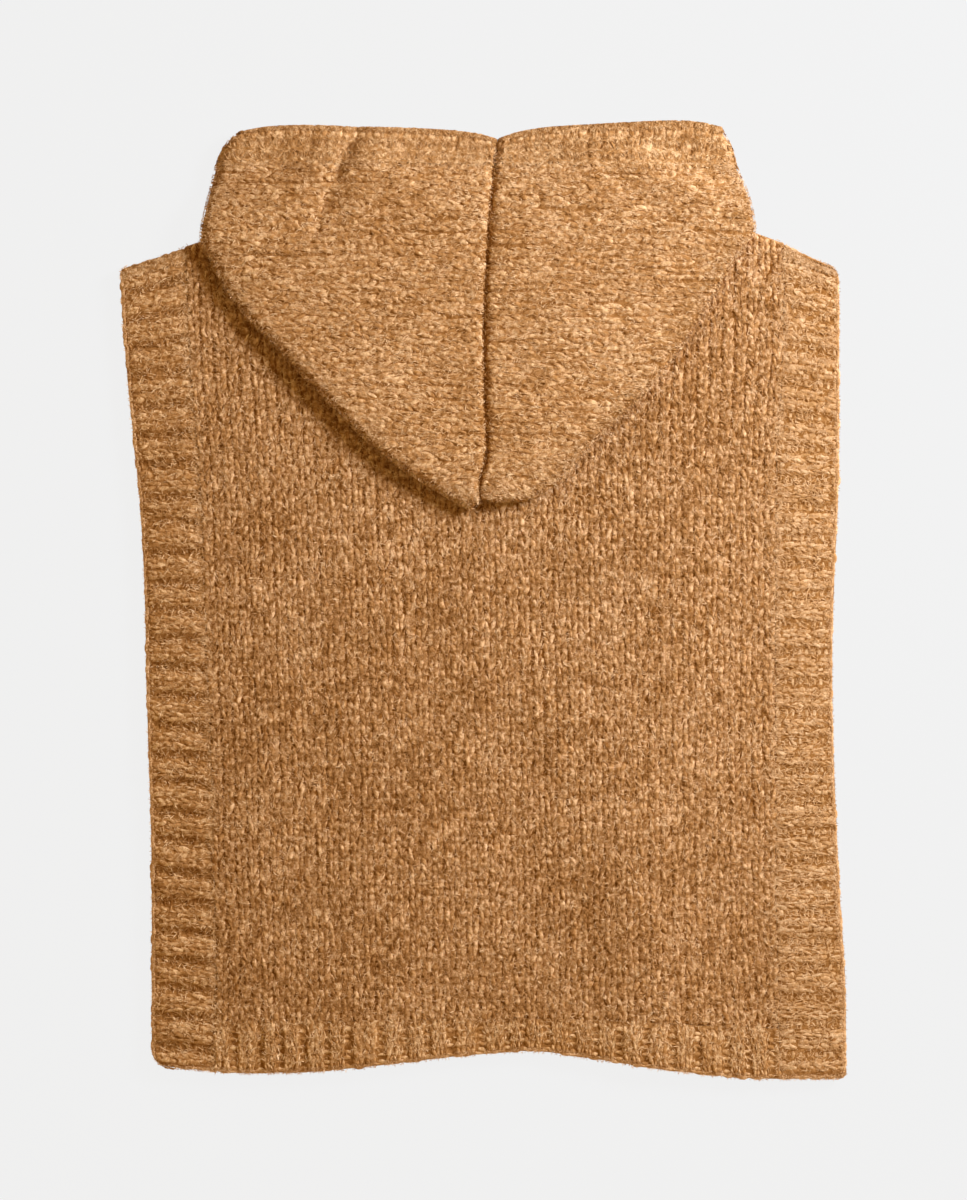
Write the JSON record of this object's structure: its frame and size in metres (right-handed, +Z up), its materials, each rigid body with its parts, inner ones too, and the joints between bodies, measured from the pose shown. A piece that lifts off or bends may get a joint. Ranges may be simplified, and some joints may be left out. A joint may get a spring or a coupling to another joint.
{
  "type": "hooded knit vest laid flat",
  "caption": "Sleeveless hooded poncho vest in bulky brushed knit, laid flat on its front with the hood down on its back, with ribbed side bands and hem.",
  "frame": {"origin": "centre of the garment's outline on the surface it lies on", "axes": "+X to the right as seen from above, +Y from the hem towards the hood, +Z up from the surface"},
  "size_m": [0.5523, 0.7293, 0.0248],
  "materials": {
    "body_knit": "brushed bulky stockinette in camel melange yarn",
    "rib_knit": "brushed bulky 2x2 rib in camel melange yarn",
    "hood_knit": "brushed bulky stockinette in camel melange yarn"
  },
  "bodies": {
    "root": {"back_panel": "body_knit", "back_hem_rib": "rib_knit", "front_panel": "body_knit", "front_hem_rib": "rib_knit", "side_band_left": "rib_knit", "side_band_right": "rib_knit", "hood_left": "hood_knit", "hood_right": "hood_knit", "hood_edge_left": "rib_knit", "hood_edge_right": "rib_knit"}
  },
  "joints": []
}
